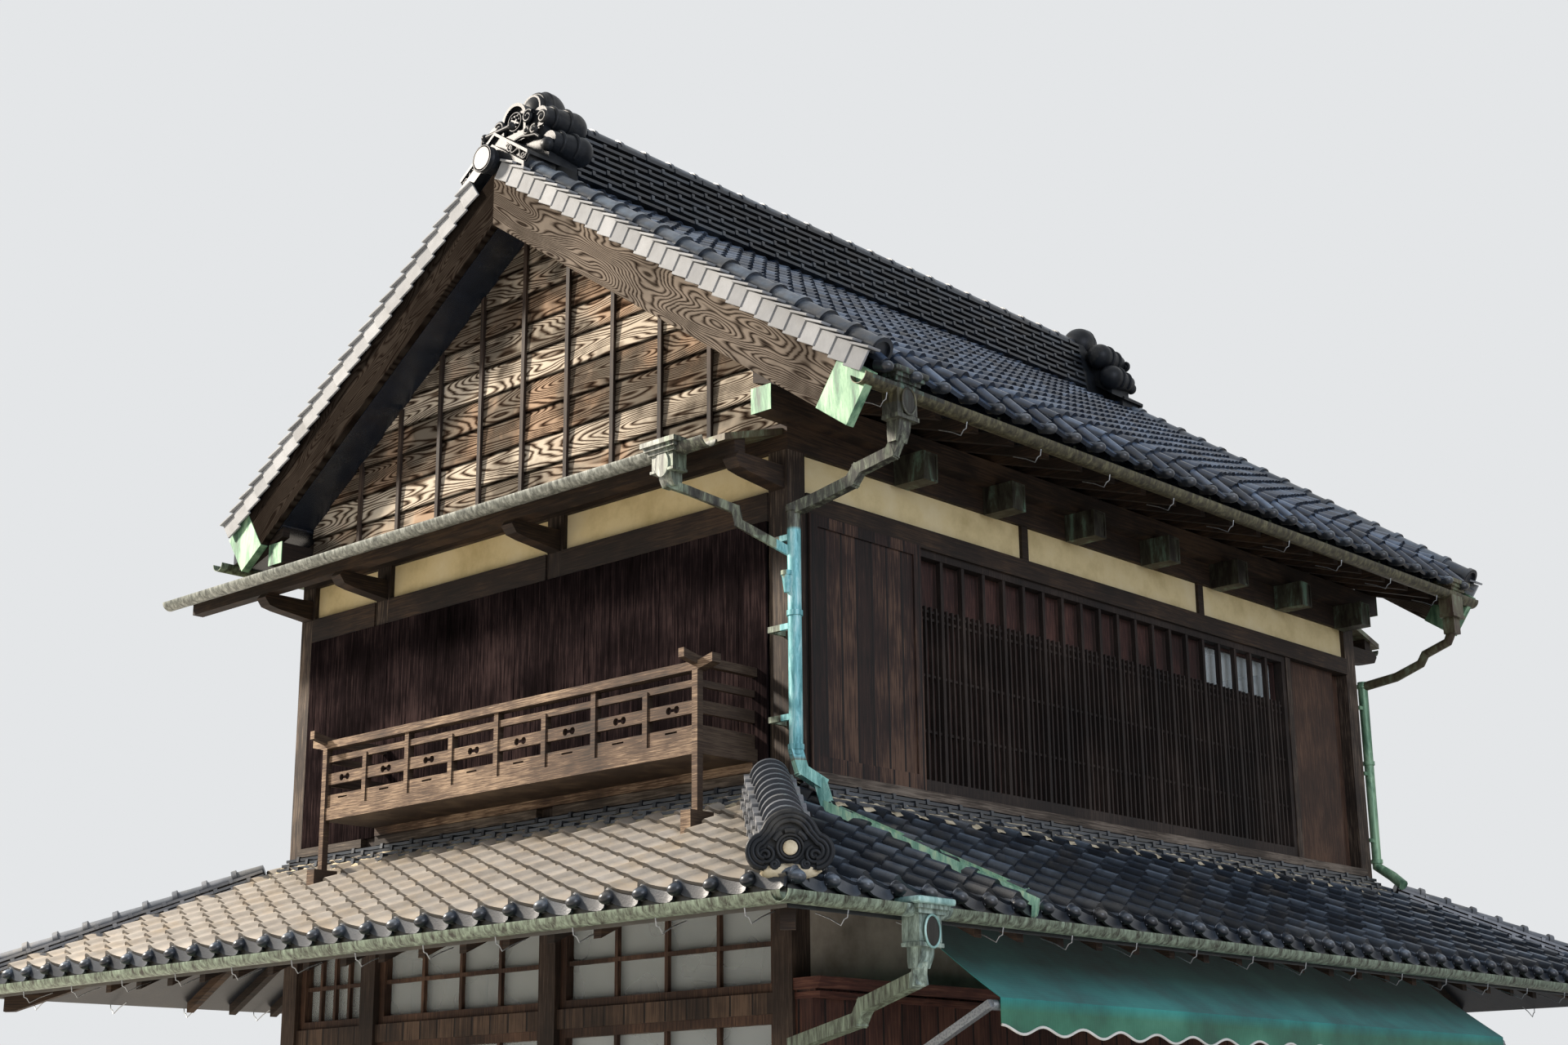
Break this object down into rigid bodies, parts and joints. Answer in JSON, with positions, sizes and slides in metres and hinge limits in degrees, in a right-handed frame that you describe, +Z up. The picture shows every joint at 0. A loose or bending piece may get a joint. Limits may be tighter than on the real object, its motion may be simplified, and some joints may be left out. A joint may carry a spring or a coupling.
{
  "type": "two-storey timber townhouse",
  "caption": "Timber townhouse with a tall tiled ridge, open gable, lattice front, tiled skirt roof over a shop front with sliding doors and awning, and a small side balcony.",
  "frame": {"origin": "On the ground at the outer corner of the posts where the lattice front meets the near gable", "axes": "+X along the lattice front away from the near gable, +Y back from the lattice front, +Z up"},
  "size_m": [8.4107, 6.6226, 7.8611],
  "materials": {
    "stone": "dressed grey stone, weathered",
    "dark_timber": "stained softwood, weathered dark brown",
    "brown_joinery": "stained brown joinery",
    "plaster": "cream lime plaster, slightly stained",
    "red_boards": "red-brown stained boards",
    "brown_boards": "brown weathered boards",
    "window_glass": "clear sheet glass",
    "roof_tile": "smoked clay tile, blue-grey with a dull sheen",
    "dark_boards": "dark purple-brown boards",
    "pale_timber": "bare softwood, bleached grey",
    "lattice_timber": "fine lattice bars, stained nearly black",
    "red_joinery": "reddish-brown sashes",
    "reed": "woven reed panel, brown",
    "green_copper": "sheet copper with green patina",
    "brown_copper": "sheet copper, brown and olive with green patches",
    "gable_boards": "lapped boards, raised weathered grain",
    "weathered_timber": "bare timber, weathered grey-brown",
    "awning_cloth": "teal-green woven canvas",
    "awning_steel": "grey galvanised tube"
  },
  "bodies": {
    "root": {"stone_plinth": "stone", "ground_posts": "dark_timber", "ground_beams": "dark_timber", "shop_doors": "brown_joinery", "shop_plaster": "plaster", "shop_fascia": "red_boards", "ground_walls": "brown_boards", "side_windows": "brown_joinery", "window_glass": "window_glass", "skirt_roof_front": "roof_tile", "skirt_roof_near": "roof_tile", "skirt_roof_far": "roof_tile", "skirt_roof_back": "roof_tile", "skirt_rafters": "dark_timber", "flashing_courses": "roof_tile", "hip_ridges": "roof_tile", "upper_floor": "brown_boards", "upper_posts": "dark_timber", "upper_walls": "dark_boards", "sill_boards": "pale_timber", "head_beams": "dark_timber", "plaster_strips": "plaster", "wall_plates": "dark_timber", "shutter_box": "dark_boards", "front_lattice": "lattice_timber", "front_sashes": "red_joinery", "reed_screen": "reed", "beam_ends": "green_copper", "eave_purlins": "dark_timber", "eave_rafters": "dark_timber", "front_roof": "roof_tile", "back_roof": "roof_tile", "gable_walls": "gable_boards", "bargeboards": "weathered_timber", "copper_caps": "green_copper", "ridge_stack": "roof_tile", "end_tiles": "roof_tile", "pent_eaves": "brown_copper", "pent_brackets": "dark_timber", "balcony": "weathered_timber", "gutters": "brown_copper", "awning_cloth": "awning_cloth", "awning_frame": "awning_steel"}
  },
  "joints": []
}
